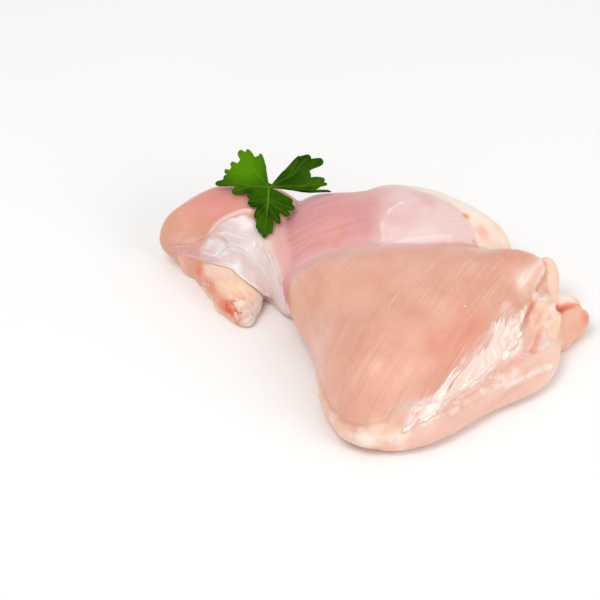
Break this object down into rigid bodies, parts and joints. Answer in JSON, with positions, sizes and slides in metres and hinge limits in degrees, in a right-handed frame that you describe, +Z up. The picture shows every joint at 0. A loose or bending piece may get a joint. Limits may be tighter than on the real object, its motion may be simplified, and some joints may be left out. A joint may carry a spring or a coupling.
{
  "type": "raw chicken thigh",
  "caption": "Raw skinless boneless chicken thigh, opened and folded over, with a flat-leaf parsley leaf lying on its back edge.",
  "frame": {"origin": "on the resting surface under the middle of the whole part, leaf included", "axes": "+X from the narrow left end to the cut right end, +Y from the front edge to the back, +Z up from the resting surface"},
  "size_m": [0.1278, 0.1043, 0.0324],
  "materials": {
    "raw_meat": "moist raw poultry meat, salmon pink with pale fat, silverskin and fine fibres",
    "parsley_leaf": "fresh green leaf, satin, with paler veins"
  },
  "bodies": {
    "root": {"thigh": "raw_meat", "parsley": "parsley_leaf"}
  },
  "joints": []
}
